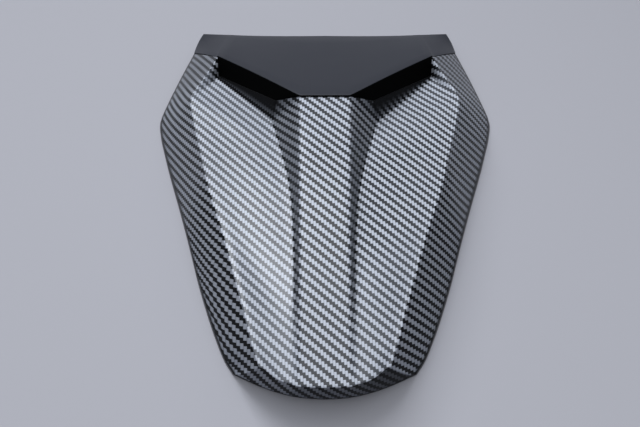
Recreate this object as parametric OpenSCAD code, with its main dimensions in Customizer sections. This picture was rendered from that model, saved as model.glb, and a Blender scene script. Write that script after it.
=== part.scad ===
// Single-seat cowl that takes the place of a motorcycle's pillion seat.
// A patterned ABS shell and a matt black front cap are screwed to a flat tray,
// which carries the latch striker, the tongues and the rubber bumpers.
// X is across, +Y points to the rider, and the rim of the shell stands on Z = 0.

/* [Outline] */
// Overall length, tail edge to front edge
cowl_l = 343; // [328:1:358]
// Overall width at the shoulders
cowl_w = 270; // [259:1:281]
// Width at the front edge
front_w = 207; // [199:1:215]
// Width of the rim at the tail corners
tail_w = 119; // [113:1:126]
// Width of the top face at the tail
tail_top_w = 78; // [72:1:84]
// How far the tail edge stands out behind the rim
tail_overhang = 12.7; // [9:0.1:15]

/* [Heights] */
// Height of the spine where it meets the front cap
spine_h = 88; // [83:1:93]
// Height of the tail edge
tail_h = 44; // [41:1:47]
// Height of the side creases
crease_h = 58; // [55:0.5:61]
// Height of the front edge of the cap
front_h = 33; // [30:1:36]
// How far the cap stands proud of the spine
cap_proud = 2; // [1:0.5:3]

/* [Spine and scoops] */
// Width of the spine's flat top at the ridge
spine_w = 34.4; // [30:0.2:38]
// Width of the spine's flat top at the tail
spine_tail_w = 28.8; // [26:0.2:32]
// Height of the ridge above the scoop floor
spine_rise = 28; // [25:1:31]
// Distance from the middle of the length forward to the ridge
ridge_y = 26; // [21:1:31]
// Depth of the scoop beside the side crease
scoop_d = 12; // [9:0.5:13]

/* [Walls] */
// Thickness of the shell
shell_t = 2.8; // [2.4:0.1:3.2]
// Thickness of the front cap
cap_t = 2.6; // [2.2:0.1:3]
// Depth of the flange that turns down at the front edge
cap_flange = 12; // [9:1:14]
// Gap at the seam between shell and cap
seam_gap = 0.5; // [0.4:0.1:0.8]

/* [Tray] */
// Height of the tray's underside
tray_z = 20; // [19:0.5:21]
// Thickness of the tray
tray_t = 3; // [2.5:0.5:3.5]
// Gap all round between the tray and the shell
tray_gap = 1; // [0.6:0.1:1.5]
// Height of the ribs under the tray
rib_h = 5; // [3:0.5:6]
// Thickness of the ribs
rib_t = 2; // [1.6:0.2:2.4]

/* [Screws] */
// Diameter of the posts that take the screws
post_d = 9; // [8:0.5:10]
// Diameter of the screws
screw_d = 4.8; // [4.2:0.1:5]
// Diameter of the screw flanges
flange_d = 12; // [11:0.5:13]
// Length of the screws under the flange
screw_l = 14; // [12:1:16]
// Play around every screw, bolt and stem
play = 0.2; // [0.2:0.1:0.4]

/* [Latch and tongues] */
// Diameter of the striker rod
rod_d = 8; // [7:0.5:8]
// Clear width inside the striker loop
loop_w = 22; // [20:1:26]
// Clear depth inside the striker loop
loop_drop = 6; // [5:0.5:7]
// Distance from the middle of the length forward to the striker
striker_y = 62; // [56:1:68]
// Room between a bolt and the edge of the striker plate
plate_side = 9; // [8:0.5:10]
// Diameter of the bolts
bolt_d = 6; // [5:0.5:6]
// Thickness of the striker plate and the tongues
plate_t = 2.5; // [2:0.5:3]
// Distance from the rim of the tail forward to the tongue bolts
tongue_in = 50.8; // [48:0.2:56]
// Distance from the centre line to the tongue bolts
tongue_out = 30; // [28:0.5:32]
// Width of each tongue
tongue_w = 24; // [20:1:28]
// Reach of each tongue behind its bend
tongue_l = 24; // [20:1:26]
// Clear height between the tongue and the tray
tongue_gap = 8; // [7:0.5:9]

/* [Bumpers] */
// Diameter of the rubber bumpers
bumper_d = 20; // [18:1:22]
// Height of the rubber bumpers below the tray
bumper_h = 12; // [10:1:14]

/* [Hidden] */
half = cowl_l / 2;
kw = cowl_w / 270;
ky = cowl_l / 343;

// Reading a smooth line out of a short list of [position, values...] rows
function tail_of(v) = [for (k = [1:len(v) - 1]) v[k]];
function row_of(l, t, i = 0) = (i >= len(l) - 2 || t < l[i + 1][0]) ? i : row_of(l, t, i + 1);
function rise(l, i) = let (a = max(i - 1, 0), b = min(i + 1, len(l) - 1))
    (tail_of(l[b]) - tail_of(l[a])) / (l[b][0] - l[a][0]);
function at(l, t) = let (i = row_of(l, t), h = l[i + 1][0] - l[i][0], u = (t - l[i][0]) / h)
    tail_of(l[i]) * (2 * u * u * u - 3 * u * u + 1) + rise(l, i) * h * (u * u * u - 2 * u * u + u)
    + tail_of(l[i + 1]) * (3 * u * u - 2 * u * u * u) + rise(l, i + 1) * h * (u * u * u - u * u);
function mix(a, b, t) = a + (b - a) * t;
function unit(v) = v / norm(v);
function ease(a, b, t) = let (u = max(0, min(1, (t - a) / (b - a)))) u * u * (3 - 2 * u);
function toward(a, b, r) = a + unit(b - a) * min(r, 0.4 * norm(b - a));
function bend(a, c, b) = (a + 2 * c + b) / 4;

// Half widths, positions and heights of the long lines, tail (0) to cap (1)
crease_list = [
    [0, 38.7, -158, 43], [0.03, 41.8, -149.7, 46], [0.063, 44.5, -141.7, 48.5], [0.122, 48.8, -126.4, 52],
    [0.23, 57.2, -98.5, 56], [0.345, 66.2, -68.7, 58], [0.486, 78, -32.3, 57.7], [0.634, 87.7, 6.1, 56.6],
    [0.742, 94.8, 33.9, 56], [0.845, 99.4, 60.6, 57.2], [0.923, 91.4, 80.9, 59], [1, 82.6, 100.7, 62]
];
rim_list = [
    [0, 59.5, -139, 0], [0.05, 64.6, -131, 0], [0.12, 69.8, -119.7, 0], [0.23, 77.4, -100.5, 0],
    [0.345, 87.4, -71.5, 0], [0.486, 97.8, -37, 0], [0.634, 109.5, 0, 0], [0.742, 120, 32, 0],
    [0.8, 127, 55, 0], [0.86, 132.8, 76, 0], [0.9, 134.9, 92, 1.5], [0.935, 129.6, 110, 6.5],
    [0.97, 120.8, 132.5, 14], [1, 111.2, 153.6, 22]
];
foot_list = [
    [0, 17.6, -170.6, 43.7], [0.1, 17.8, -152, 50], [0.215, 18, -128, 56.6], [0.345, 18.4, -101.4, 60.8],
    [0.45, 19, -79.6, 62.8], [0.57, 20.5, -55.8, 64], [0.7, 23.6, -30, 64.3], [0.84, 30, 0, 63],
    [1, 37.7, 31.8, 60]
];
rim_tail_list = [
    [0, 0, 0, 4], [0.25, 15, 1.2, 3.8], [0.5, 29.5, 5.2, 2.8], [0.75, 44.5, 11.9, 1], [1, 59.5, 19.8, 0]
];

function spine_z(y) = let (t = (y + half) / (ridge_y + half))
    tail_h + (spine_h - tail_h) * (1 - (1 - t) * (1 - t));
function widen(s, x) = x * mix(tail_top_w / 77.4, kw, s);
function lift(s, z) = z + (tail_h - 44) * (1 - ease(0, 0.35, s)) + (crease_h - 58) * ease(0, 0.35, s);

// Corners of one cross row of the skin; d is the depth below the outer face
function tail_in(s, d) = 1.35 * d * (1 - ease(0, 0.04, s));
function side_in(s, d) = 0.5 * d * ease(0.1, 0.5, s);
function spine_mid(s, d) = let (y = mix(-half - 0.6, ridge_y, s)) [0, y + tail_in(s, d), spine_z(y) - d];
function spine_edge(s, d) = let (y = mix(-half, ridge_y, s))
    [mix(spine_tail_w, spine_w, s) / 2 - side_in(s, d), y + tail_in(s, d), spine_z(y) - 0.1 - d];
function foot(s, d) = let (p = at(foot_list, s), k = ease(0.05, 0.95, s))
    [p[0] * kw - side_in(s, d), mix(p[1] * ky, p[1] + ridge_y - 26, k) + tail_in(s, d),
     lift(s, p[2]) + (spine_h - 88 - spine_rise + 28) * k - d];
function strip(s) = ease(0.845, 1, s);
function crease(s, d) = let (p = at(crease_list, s))
    [widen(s, p[0]) - d * mix(0.8, -0.25, strip(s)), p[1] * ky + 1.0 * d * (1 - ease(0, 0.06, s)),
     lift(s, p[2]) - d * mix(mix(0.75, 1, ease(0, 0.08, s)), 1.9, strip(s))];
function wing(s, d) = let (c = at(crease_list, s), k = strip(s), j = s < 0.845 ? 0 : (s - 0.845) / 0.155)
    [widen(s, c[0]) - mix(2.4, 0.4, j) + d * mix(-0.3, 0.7, k),
     (c[1] - mix(0.8, 9.5, j)) * ky + 1.2 * d * (1 - ease(0, 0.06, s)),
     lift(s, c[2]) - mix(0.05, scoop_d, j) - d];
function rim(s, d) = let (p = at(rim_list, s), q = at(rim_list, max(0, s - 0.02)),
    r = at(rim_list, min(1, s + 0.02)), n = unit([r[1] - q[1], q[0] - r[0]]),
    k = ease(0, 0.04, s), w = mix(tail_w / 119, kw, s))
    [p[0] * w - 1.1 * d * mix(0.75, n[0], k), p[1] * ky - 1.1 * d * mix(-0.6, n[1], k), max(0, p[2])];
function rim_back(a, d) = let (p = at(rim_tail_list, a))
    [p[0] * tail_w / 119 - d * 0.8 * a * a, tail_overhang - half + p[1] + d * (1.1 - 0.45 * a * a),
     max(0, p[2])];

// Points of one half row, centre line to crease, with small rounds at the corners.
// The crown bulges the wing between the foot of the spine and the crease
function half_row(a, b, f, w, c, o, crown) = let (
    p2 = toward(b, a, 1.6), p4 = toward(b, f, 1.6), p6 = toward(f, b, 1.8), p8 = toward(f, w, 1.8),
    p13 = toward(w, f, 1.6), p15 = toward(w, c, 1.4), p16 = toward(c, w, 1.4), p18 = toward(c, o, 1.4))
    [a, mix(a, b, 0.5), p2, bend(p2, b, p4), p4, mix(p4, p6, 0.5), p6, bend(p6, f, p8), p8,
     for (k = [1:4]) mix(p8, p13, k / 5) + crown * sin(36 * k),
     p13, bend(p13, w, p15), p15, p16, bend(p16, c, p18)];
function main_row(s, d) = half_row(
    spine_mid(s, d), spine_edge(s, d), foot(s, d), wing(s, d), crease(s, d), rim(s, d),
    [0, -1.8 * (1 - ease(0, 0.1, s)), 1.6 * ease(0, 0.3, s) * (1 - ease(0.6, 1, s))]);

// Rows that climb the front wall of the scoops to the seam. The seam leaves the
// spine's edge, runs down its side to the scoop's inner corner, then out to the crease
last = len(main_row(1, 0)) - 1;
main_rows = 30;
floor_end = 0.985;
wall_steps = [0, 0.12, 0.5, 1];
seam_start = [spine_w / 2, ridge_y + 0.8, spine_h];
seam_knee = foot(1, 0) + [-3.2, 1.7, 0.64 * spine_rise];
seam_end = wing(1, 0) + [0, 0.6, 0.8];
function seam_at(t, d) = t <= 0 ? seam_start + [0, 0, -d]
    : t <= 1 ? mix(seam_start, seam_knee, t) + d * mix([-0.6, 0.3, -0.8], [-0.9, 0.6, -0.1], t)
    : mix(seam_knee, seam_end, t - 1) + d * [-0.9, 0.6, -0.1];
seam_marks = [0, 0.12, 0.5, 0.9, 1, 1.04, 1.2, 1.4, 1.6, 1.8, 1.95, 2];
function top_row(d) = let (r = main_row(1, d)) [for (j = [0:last])
    j < 3 ? r[j] + [0, 0.8, 0] : j <= 14 ? seam_at(seam_marks[j - 3], d) : r[j]];
function wall_row(t, d) = let (a = main_row(1, d), b = top_row(d), c = main_row(mix(0.988, 1, t), d))
    [for (j = [0:last]) j > 14 ? c[j] : mix(a[j], b[j], t)];
function foot_row(d) = let (p = main_row(floor_end, d), c = wall_row(0, d), q = wall_row(0.12, d))
    [for (j = [0:last]) j > 3 && j < 15 ? bend(p[j], c[j], q[j]) : c[j]];
function station(i) = i <= main_rows ? floor_end * i / main_rows
    : mix(0.988, 1, wall_steps[i - main_rows - 1]);
rows = main_rows + 1 + len(wall_steps);

// The tail edge is rounded over into the rear face
function tail_rim(r, j, d) = rim_back(r[j][0] / r[last][0], d);
function deck_row(i, d) = i == main_rows + 1 ? foot_row(d)
    : i > main_rows ? wall_row(wall_steps[i - main_rows - 1], d)
    : i > 1 ? main_row(station(i), d)
    : let (e = main_row(0, d), n = main_row(station(2), d)) [for (j = [0:last])
        i == 1 ? toward(e[j], n[j], 1.6)
        : bend(toward(e[j], n[j], 1.6), e[j], toward(e[j], tail_rim(e, j, d), 1.6))];

// Points of the skirt below one place on the edge of the top face
skirt_steps = [0.08, 0.3, 0.55, 0.8, 0.93, 1];
function skirt(a, b, out, d) = let (p = toward(a, b, 1.5))
    [p, for (t = skirt_steps) mix(p, b, t) + out * 2.2 * sin(180 * t)];
function side_out(s) = let (q = rim(max(0, s - 0.02), 0), r = rim(min(1, s + 0.02), 0))
    unit([r[1] - q[1], q[0] - r[0], 0]);
function edge_drop(i, d) = let (s = station(i))
    skirt(main_row(s, d)[last], rim(s, d), side_out(s) * ease(0, 0.1, s), d);
function tail_drop(j, d) = let (e = main_row(0, d))
    skirt(deck_row(0, d)[j], tail_rim(e, j, d), [0, -0.6, 0], d);

function flip(p) = [-p[0], p[1], p[2]];
function both_ways(l) = concat([for (j = [len(l) - 1:-1:1]) flip(l[j])], l);
function flat(l) = [for (r = l) each r];
wide = 2 * last + 1;
reach = last + rows;
drops = len(skirt_steps) + 1;
function skin(d) = let (
    top = [for (i = [0:rows - 1]) both_ways(deck_row(i, d))],
    loop = concat([for (j = [0:last]) tail_drop(j, d)], [for (i = [1:rows - 1]) edge_drop(i, d)]))
    concat(flat(top), flat([for (k = [0:drops - 1]) both_ways([for (p = loop) p[k]])]));

// Numbers of the points, and the triangles between them
function edge_at(l) = let (a = abs(l), c = a <= last ? last + a : wide - 1, i = a <= last ? 0 : a - last)
    i * wide + (l < 0 ? wide - 1 - c : c);
function drop_at(k, l) = k == 0 ? edge_at(l) : rows * wide + (k - 1) * (2 * reach - 1) + l + reach - 1;
function quad(a, b, c, d) = [[a, b, c], [a, c, d]];
face_list = concat(
    flat([for (i = [0:rows - 2], c = [0:wide - 2]) let (p = i * wide + c)
        quad(p, p + wide, p + wide + 1, p + 1)]),
    flat([for (k = [0:drops - 1], l = [1 - reach:reach - 2])
        quad(drop_at(k, l), drop_at(k, l + 1), drop_at(k + 1, l + 1), drop_at(k + 1, l))]));
front_chain = concat([for (k = [drops:-1:1]) drop_at(k, 1 - reach)],
    [for (c = [0:wide - 1]) (rows - 1) * wide + c], [for (k = [1:drops]) drop_at(k, reach - 1)]);
rim_chain = [for (l = [reach - 1:-1:1 - reach]) drop_at(drops, l)];
function reversed(f) = [for (t = f) [t[2], t[1], t[0]]];
function shifted(f, n) = [for (t = f) t + [n, n, n]];
function edge_faces(chain, n) = flat([for (m = [0:len(chain) - 2])
    quad(chain[m + 1], chain[m], chain[m] + n, chain[m + 1] + n)]);

module shell() {
    outer = skin(0);
    n = len(outer);
    color([0.16, 0.16, 0.18]) union() {
        polyhedron(points = concat(outer, skin(shell_t)), faces = concat(
            face_list, shifted(reversed(face_list), n),
            edge_faces(front_chain, n), edge_faces(rim_chain, n)), convexity = 8);
        for (i = [1:6]) post(shell_spot(i), 0.8);
    }
}

// Front cap: rear lip, ramp, side facets and front flange in one sheet
seam_side = [for (p = edge_drop(rows - 1, 0)) p + [0, 0.95, 0.2]];
split_point = seam_side[len(seam_side) - 1];
ridge_end = crease(1, 0) + [-0.1, 0.5, 1.2];
ridge_z = spine_h + cap_proud;
cap_cols = 16;
cap_knee = 8;
ridge_start = [spine_w / 2, ridge_y, ridge_z];
function ridge_at(j) = j <= 4 ? [spine_w / 2 * j / 4, ridge_y, ridge_z]
    : let (t = j <= cap_knee ? 0.17 * (j - 4) / (cap_knee - 4)
        : mix(0.17, 1, (j - cap_knee) / (cap_cols - cap_knee)))
        mix(ridge_start, ridge_end, t) + [0, 0, 0.8 * sin(180 * t)];
function lip_at(j) = j <= 4 ? [spine_w / 2 * j / 4, ridge_y, spine_h + seam_gap]
    : seam_at(j <= cap_knee ? (j - 4) / (cap_knee - 4) : 1 + (j - cap_knee) / (cap_cols - cap_knee), 0)
        + [-0.1, 0.1, seam_gap];
cap_last = cap_cols + len(seam_side);
function facet_step(j) = norm(seam_side[j - cap_cols - 1] - ridge_end) / norm(split_point - ridge_end);
crease_foot = [80 * front_w / 207, half - 4, front_h - 1];
front_corner = [front_w / 2, half + 0.3, front_h - 3];
function front_at(j) = j <= cap_cols ? let (x = ridge_at(j)[0] * crease_foot[0] / ridge_end[0])
        [x, half - 6.5 + 2.5 * pow(x / crease_foot[0], 3), mix(front_h, front_h - 1, x / crease_foot[0])]
    : mix(crease_foot, front_corner, facet_step(j));
function back_at(j) = j <= cap_cols ? ridge_at(j) : seam_side[j - cap_cols - 1];
function low_at(j) = j <= cap_cols ? lip_at(j)
    : back_at(j) + mix([-1.6, -0.4, -8], [-2.4, 0.6, -1.2], ease(0, 0.6, facet_step(j)));
// Direction that the lip faces, and the points of one column from lip to flange
function back_dir(j) = j <= 4 ? [0, -1, 0] : j <= cap_cols ? [0.8, -0.6, 0] : [0, -0.2, 0];
function cap_column(j, d) = let (
    l = low_at(j) - back_dir(j) * d,
    b = back_at(j) - back_dir(j) * d - [0, 0, (j <= cap_cols ? 1.5 : 1.1) * d],
    f = front_at(j) - [0, 1, 0.8] * d,
    z = [f[0], f[1] - (d > 0 ? 0 : 1.2), front_at(j)[2] - cap_flange],
    r0 = toward(b, l, 1.2), r2 = toward(b, f, 1.2), s0 = toward(f, b, 2), s2 = toward(f, z, 2))
    [l, mix(l, r0, 0.5), r0, bend(r0, b, r2), r2,
     for (t = [0.14, 0.28, 0.42, 0.56, 0.7, 0.84]) mix(r2, s0, t) + [0, 0, 1.2 * sin(180 * t)],
     s0, bend(s0, f, s2), s2, z];

function cap_columns(d) = concat([for (j = [cap_last:-1:1]) [for (p = cap_column(j, d)) flip(p)]],
    [for (j = [0:cap_last]) cap_column(j, d)]);

module front_cap() {
    cols_out = cap_columns(0);
    cols_in = cap_columns(cap_t);
    m = len(cols_out[0]);
    w = len(cols_out);
    n = m * w;
    grid = flat([for (c = [0:w - 2], r = [0:m - 2]) let (p = c * m + r)
        quad(p, p + 1, p + m + 1, p + m)]);
    chain = concat([for (r = [0:m - 1]) r], [for (c = [1:w - 1]) c * m + m - 1],
        [for (r = [m - 2:-1:0]) (w - 1) * m + r], [for (c = [w - 2:-1:0]) c * m]);
    color([0.08, 0.08, 0.09]) union() {
        polyhedron(points = concat(flat(cols_out), flat(cols_in)),
            faces = concat(grid, shifted(reversed(grid), n), edge_faces(chain, n)), convexity = 8);
        post(cap_spot, 0.5);
        post(flip(cap_spot), 0.5);
    }
}

// Where the screws, bolts and bumpers stand
function skin_at(s, j, d) = main_row(s, d)[j];
post_rows = [0.27, 0.5, 0.8];
shell_spots = [for (s = post_rows) skin_at(s, 12, shell_t)];
function shell_spot(i) = let (p = shell_spots[floor((i - 1) / 2)]) i % 2 == 1 ? flip(p) : p;
cap_spot = cap_column(11, cap_t)[8];
bolt_x = loop_w / 2 + rod_d + bolt_d + 2;
tongue_x = tongue_out;
tongue_y = tail_overhang - half + tongue_in;
bumper_x = [88 * kw, 62 * kw];
bumper_y = [64 * ky, -66 * ky];
rib_x = bolt_x + plate_side + 3 + rib_t / 2;
rib_back = tongue_y + 20;
rib_front = half - 35.5;
rib_rows = [rib_back + 8, (rib_back + 8 + striker_y - 42) / 2, striker_y - 42, striker_y + 38];
tray_front = half - 19.5;
stem_d = 8;
head_h = 3;
bolt_head_h = 4;
nut_h = 5;

module post(p, bite) {
    translate([p[0], p[1], tray_z + tray_t]) difference() {
        cylinder(d = post_d, h = p[2] + bite - tray_z - tray_t, $fn = 32);
        translate([0, 0, -1]) cylinder(d = screw_d + play, h = screw_l - tray_t + 2, $fn = 32);
    }
}

// Flat tray, following the inside of the shell, with ribs and holes
function inside_side(s) = let (c = crease(s, shell_t), r = rim(s, shell_t),
    p = mix(c, r, (c[2] - tray_z) / (c[2] - r[2])) - side_out(s) * tray_gap) [p[0], p[1]];
function inside_tail(a) = let (c = main_row(0, shell_t)[last], r = rim_back(a, shell_t), x = a * c[0],
    e = [x, mix(-half, c[1], a * a) + tail_in(0, shell_t), tail_h - 2],
    p = mix(e, r, (e[2] - tray_z) / (e[2] - r[2]))) [p[0], p[1] + tray_gap];
tray_side = concat([for (a = [0, 0.3, 0.6, 0.85]) inside_tail(a)],
    [for (k = [0.5:1:14]) inside_side(0.88 * k / 14)],
    [[104 * kw, tray_front - 44], [92 * kw, tray_front - 20], [86 * kw, tray_front], [0, tray_front]]);
module tray() {
    outline = concat([for (k = [len(tray_side) - 2:-1:1]) [-tray_side[k][0], tray_side[k][1]]],
        tray_side);
    color([0.1, 0.1, 0.11]) difference() {
        union() {
            translate([0, 0, tray_z]) linear_extrude(tray_t) polygon(outline);
            for (m = [-1, 1]) translate([m * rib_x - rib_t / 2, rib_back, tray_z - rib_h])
                cube([rib_t, rib_front - rib_back, rib_h + 1]);
            for (y = rib_rows) translate([-rib_x, y - rib_t / 2, tray_z - rib_h])
                cube([2 * rib_x, rib_t, rib_h + 1]);
        }
        for (i = [1:6]) bore(shell_spot(i), screw_d + play);
        for (m = [-1, 1]) {
            bore([m * cap_spot[0], cap_spot[1]], screw_d + play);
            bore([m * bolt_x, striker_y], bolt_d + play);
            bore([m * tongue_x, tongue_y], bolt_d + play);
            for (k = [0, 1]) bore([m * bumper_x[k], bumper_y[k]], stem_d + play);
        }
    }
}
module bore(p, d) {
    translate([p[0], p[1], tray_z - rib_h - 5]) cylinder(d = d, h = 20, $fn = 32);
}

// Pan-head screw driven up through the tray into a post
module screw(p) {
    color([0.55, 0.55, 0.56]) translate([p[0], p[1], tray_z]) {
        translate([0, 0, -1.2]) cylinder(d = flange_d, h = 1.2, $fn = 32);
        difference() {
            translate([0, 0, -1.2 - head_h]) cylinder(d = screw_d * 1.8, h = head_h + 0.1, $fn = 32);
            for (a = [0, 90]) rotate(a) translate([-2.6, -0.5, -1.3 - head_h]) cube([5.2, 1, 1.9]);
        }
        cylinder(d = screw_d, h = screw_l - 2, $fn = 32);
        translate([0, 0, screw_l - 2]) cylinder(d1 = screw_d, d2 = 2.4, h = 2, $fn = 32);
    }
}

// Hexagon bolt up through a plate and the tray, with its nut on top
module bolt(x, y) {
    color([0.6, 0.6, 0.62]) translate([x, y, tray_z - plate_t]) {
        translate([0, 0, -bolt_head_h]) cylinder(d = bolt_d * 1.85, h = bolt_head_h, $fn = 6);
        cylinder(d = bolt_d, h = plate_t + tray_t + nut_h + 2, $fn = 32);
    }
}
module nut(x, y) {
    color([0.6, 0.6, 0.62]) translate([x, y, tray_z + tray_t]) difference() {
        union() {
            cylinder(d = bolt_d * 2.3, h = 1, $fn = 32);
            cylinder(d = bolt_d * 1.85, h = nut_h, $fn = 6);
        }
        translate([0, 0, -1]) cylinder(d = bolt_d + play, h = nut_h + 2, $fn = 32);
    }
}

module striker_plate() {
    color([0.62, 0.62, 0.64]) difference() {
        translate([0, striker_y, tray_z - plate_t]) linear_extrude(plate_t) difference() {
            square(2 * [bolt_x + plate_side, plate_side + 4], center = true);
            for (a = [-1, 1], b = [-1, 1]) translate([a * (bolt_x + plate_side), b * (plate_side + 4)])
                rotate(45) square(6, center = true);
        }
        for (m = [-1, 1]) bore([m * bolt_x, striker_y], bolt_d + play);
    }
}
module striker_loop() {
    bend_r = rod_d * 0.75;
    leg_x = loop_w / 2 + rod_d / 2;
    low = tray_z - plate_t - loop_drop - rod_d / 2;
    color([0.66, 0.66, 0.68]) translate([0, striker_y, 0]) {
        for (m = [-1, 1]) {
            translate([m * leg_x, 0, low + bend_r])
                cylinder(d = rod_d, h = tray_z - plate_t - low - bend_r, $fn = 32);
            translate([m * (leg_x - bend_r), 0, low + bend_r]) rotate([90, m > 0 ? 0 : 90, 0])
                rotate([0, 0, -90]) rotate_extrude(angle = 90, $fn = 48)
                translate([bend_r, 0]) circle(d = rod_d, $fn = 32);
        }
        translate([bend_r - leg_x, 0, low]) rotate([0, 90, 0])
            cylinder(d = rod_d, h = 2 * (leg_x - bend_r), $fn = 32);
    }
}

// Bent steel tongue that slides under the bracket on the tail of the frame
module tongue(m) {
    front = tongue_y + 14;
    bent = tongue_y - 12;
    low = tray_z - tongue_gap;
    color([0.62, 0.62, 0.64]) difference() {
        translate([m * tongue_x - tongue_w / 2, 0, 0]) rotate([90, 0, 90])
            linear_extrude(tongue_w) polygon([[front, tray_z], [bent, tray_z], [bent - plate_t, tray_z - plate_t], [bent - plate_t, low],
            [bent - tongue_l, low], [bent - tongue_l, low - plate_t], [bent, low - plate_t],
            [bent + 2, low], [bent + 2, tray_z - plate_t], [front, tray_z - plate_t]]);
        bore([m * tongue_x, tongue_y], bolt_d + play);
    }
}

// Rubber bumper with a stem pushed through the tray
module bumper(m, k) {
    r = bumper_d / 2;
    s = stem_d / 2;
    profile = [[0, -bumper_h], [r - 3, -bumper_h], [r - 1, 1 - bumper_h], [r, 3 - bumper_h], [r, 0],
        [s, 0], [s, tray_t], [s + 1.6, tray_t], [s - 1, tray_t + 4], [0, tray_t + 4]];
    color([0.05, 0.05, 0.05]) translate([m * bumper_x[k], bumper_y[k], tray_z])
        rotate_extrude($fn = 48) polygon(profile);
}

shell();
front_cap();
tray();
striker_plate();
striker_loop();
tongue(-1);  // tongue_left
tongue(1);  // tongue_right
bumper(-1, 0);  // bumper_front_left
bumper(1, 0);  // bumper_front_right
bumper(-1, 1);  // bumper_rear_left
bumper(1, 1);  // bumper_rear_right
screw(shell_spot(1));  // shell_screw_1
screw(shell_spot(2));  // shell_screw_2
screw(shell_spot(3));  // shell_screw_3
screw(shell_spot(4));  // shell_screw_4
screw(shell_spot(5));  // shell_screw_5
screw(shell_spot(6));  // shell_screw_6
screw([-cap_spot[0], cap_spot[1]]);  // cap_screw_left
screw(cap_spot);  // cap_screw_right
bolt(-bolt_x, striker_y);  // striker_bolt_left
bolt(bolt_x, striker_y);  // striker_bolt_right
nut(-bolt_x, striker_y);  // striker_nut_left
nut(bolt_x, striker_y);  // striker_nut_right
bolt(-tongue_x, tongue_y);  // tongue_bolt_left
bolt(tongue_x, tongue_y);  // tongue_bolt_right
nut(-tongue_x, tongue_y);  // tongue_nut_left
nut(tongue_x, tongue_y);  // tongue_nut_right
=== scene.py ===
# %% Load the fixed frame
import math

import bmesh
import bpy
import numpy as np
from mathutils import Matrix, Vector


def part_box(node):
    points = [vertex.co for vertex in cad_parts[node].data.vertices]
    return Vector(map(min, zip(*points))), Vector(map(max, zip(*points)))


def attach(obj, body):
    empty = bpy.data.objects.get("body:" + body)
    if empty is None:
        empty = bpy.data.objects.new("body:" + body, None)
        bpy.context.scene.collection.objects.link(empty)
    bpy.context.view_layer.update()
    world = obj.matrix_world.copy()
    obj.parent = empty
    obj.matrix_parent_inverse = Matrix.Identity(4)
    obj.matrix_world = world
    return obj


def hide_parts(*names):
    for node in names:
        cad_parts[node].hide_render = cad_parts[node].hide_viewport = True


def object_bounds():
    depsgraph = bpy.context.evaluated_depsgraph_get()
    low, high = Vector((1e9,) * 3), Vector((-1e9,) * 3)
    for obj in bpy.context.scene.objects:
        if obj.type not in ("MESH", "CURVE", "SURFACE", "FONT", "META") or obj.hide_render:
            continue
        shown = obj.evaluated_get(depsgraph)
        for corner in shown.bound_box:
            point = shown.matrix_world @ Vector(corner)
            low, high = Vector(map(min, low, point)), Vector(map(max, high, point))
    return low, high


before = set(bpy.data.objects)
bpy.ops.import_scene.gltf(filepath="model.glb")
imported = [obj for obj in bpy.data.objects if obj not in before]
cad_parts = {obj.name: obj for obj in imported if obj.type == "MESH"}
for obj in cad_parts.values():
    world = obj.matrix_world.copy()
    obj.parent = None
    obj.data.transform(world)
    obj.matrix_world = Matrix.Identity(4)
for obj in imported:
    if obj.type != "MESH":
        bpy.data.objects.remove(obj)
cad_box = [list(corner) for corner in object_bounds()]
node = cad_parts
print("solids:", len(node), "box in metres:", [[round(v, 4) for v in c] for c in cad_box])

# %% [markdown]
# ## The camera
# The photograph looks down on the cowl from behind its tail, head-on, with the rider's
# side at the top. How high the camera stood can be read from the way the weave's cells
# and the outline shrink towards the top: about 470 mm up, 240 mm behind the tail rim,
# looking down by 50 degrees. The cowl sits 4.8 pixels right of the middle, so the lens
# is shifted by that much, rather than turned, which would skew the symmetry.

# %% Camera
MM = 0.001
TAIL_RIM_Y = -158.8 * MM
IMAGE_WIDTH, LENS_PIXELS, RIGHT_SHIFT = 640, 823.0, 4.8
CAMERA_BACK, CAMERA_UP, CAMERA_TILT = 240 * MM, 470 * MM, 50
camera = bpy.data.objects.new("camera", bpy.data.cameras.new("camera"))
bpy.context.scene.collection.objects.link(camera)
bpy.context.scene.camera = camera
camera.data.sensor_width = 36.0
camera.data.lens = camera.data.sensor_width * LENS_PIXELS / IMAGE_WIDTH
camera.data.shift_x = -RIGHT_SHIFT / IMAGE_WIDTH
camera.location = (0, TAIL_RIM_Y - CAMERA_BACK, CAMERA_UP)
camera.rotation_euler = (math.radians(90 - CAMERA_TILT), 0, 0)
camera.data.clip_start, camera.data.clip_end = 0.01, 20
print("lens", round(camera.data.lens, 2), "mm at", [round(v, 3) for v in camera.location])

# %% [markdown]
# ## Shader maths as Python
# A weave is mostly arithmetic: which tow lies on top, how far across it a point is.
# Written node by node that is hard to read, so a small class wraps a socket and lets
# +, -, *, / and a few named functions add the Math nodes for us.

# %% Socket class
class Value:
    """A number, colour or vector somewhere in a sheet's node tree."""

    def __init__(self, sheet, socket):
        self.sheet, self.socket = sheet, socket

    def _math(self, operation, *others):
        made = self.sheet.tree.nodes.new("ShaderNodeMath")
        made.operation = operation
        for slot, item in zip(made.inputs, (self, *others)):
            if isinstance(item, Value):
                self.sheet.tree.links.new(item.socket, slot)
            else:
                slot.default_value = item
        return Value(self.sheet, made.outputs[0])

    def __add__(self, other): return self._math("ADD", other)
    def __radd__(self, other): return self._math("ADD", other)
    def __sub__(self, other): return self._math("SUBTRACT", other)
    def __rsub__(self, other): return (self * -1.0) + other
    def __mul__(self, other): return self._math("MULTIPLY", other)
    def __rmul__(self, other): return self._math("MULTIPLY", other)
    def __truediv__(self, other): return self._math("DIVIDE", other)
    def floor(self): return self._math("FLOOR")
    def wrap(self, size): return self._math("FLOORED_MODULO", size)
    def below(self, limit): return self._math("LESS_THAN", limit)
    def power(self, k): return self._math("POWER", k)
    def size(self): return self._math("ABSOLUTE")

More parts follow.
